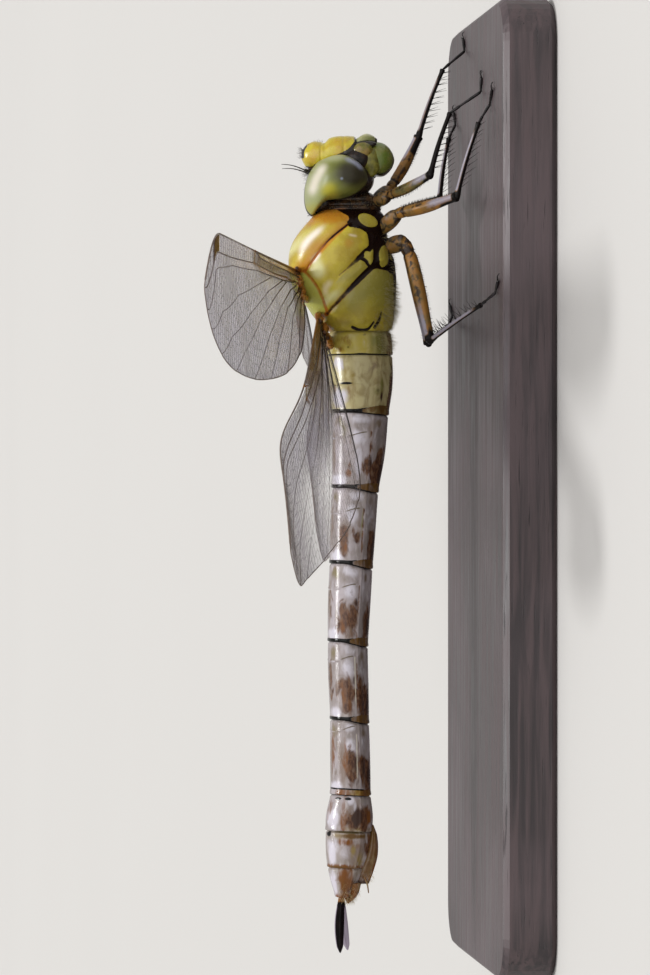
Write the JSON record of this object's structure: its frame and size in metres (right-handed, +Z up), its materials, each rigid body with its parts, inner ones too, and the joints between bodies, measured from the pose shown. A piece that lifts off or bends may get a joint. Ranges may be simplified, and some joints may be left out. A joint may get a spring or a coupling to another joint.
{
  "type": "dragonfly display model",
  "caption": "Life-size still model of a freshly emerged dragonfly standing on a small flat wooden base, wings held out to the sides.",
  "frame": {"origin": "middle of the underside of the base, which stands on the table", "axes": "+X towards the head along the body, +Z up, -Y on the insect's right side; the wings reach out along Y"},
  "size_m": [0.084, 0.0966, 0.0324],
  "materials": {
    "thorax_cuticle": "glossy yellow to olive cuticle with dark sutures",
    "dark_cuticle": "dark brown cuticle with fine hairs",
    "face_cuticle": "glossy yellow and pale green cuticle",
    "eye": "polished olive compound eye",
    "abdomen_cuticle": "glossy pale cuticle with brown marks and dark rings",
    "black_cuticle": "shiny black cuticle",
    "leg_cuticle": "shiny brown and black cuticle with spines",
    "wing_membrane": "clear smoky membrane with dark veins",
    "base_wood": "dark stained wood, satin"
  },
  "bodies": {
    "root": {"thorax": "thorax_cuticle", "prothorax": "dark_cuticle", "head": "dark_cuticle", "face": "face_cuticle", "labrum": "face_cuticle", "labium": "face_cuticle", "mandible_left": "face_cuticle", "mandible_right": "face_cuticle", "eye_left": "eye", "eye_right": "eye", "antenna_left": "black_cuticle", "antenna_right": "black_cuticle", "abdomen_s1": "abdomen_cuticle", "abdomen_s2": "abdomen_cuticle", "abdomen_s3": "abdomen_cuticle", "abdomen_s4": "abdomen_cuticle", "abdomen_s5": "abdomen_cuticle", "abdomen_s6": "abdomen_cuticle", "abdomen_s7": "abdomen_cuticle", "abdomen_s8": "abdomen_cuticle", "abdomen_s9": "abdomen_cuticle", "abdomen_s10": "abdomen_cuticle", "ovipositor": "abdomen_cuticle", "cercus_left": "black_cuticle", "cercus_right": "black_cuticle", "wing_fore_left": "wing_membrane", "wing_fore_right": "wing_membrane", "wing_hind_left": "wing_membrane", "wing_hind_right": "wing_membrane", "leg_front_left_femur": "leg_cuticle", "leg_front_left_tibia": "leg_cuticle", "leg_front_left_tarsus": "black_cuticle", "leg_front_right_femur": "leg_cuticle", "leg_front_right_tibia": "leg_cuticle", "leg_front_right_tarsus": "black_cuticle", "leg_middle_left_femur": "leg_cuticle", "leg_middle_left_tibia": "leg_cuticle", "leg_middle_left_tarsus": "black_cuticle", "leg_middle_right_femur": "leg_cuticle", "leg_middle_right_tibia": "leg_cuticle", "leg_middle_right_tarsus": "black_cuticle", "leg_hind_left_femur": "leg_cuticle", "leg_hind_left_tibia": "leg_cuticle", "leg_hind_left_tarsus": "black_cuticle", "leg_hind_right_femur": "leg_cuticle", "leg_hind_right_tibia": "leg_cuticle", "leg_hind_right_tarsus": "black_cuticle", "stand_base": "base_wood"}
  },
  "joints": []
}
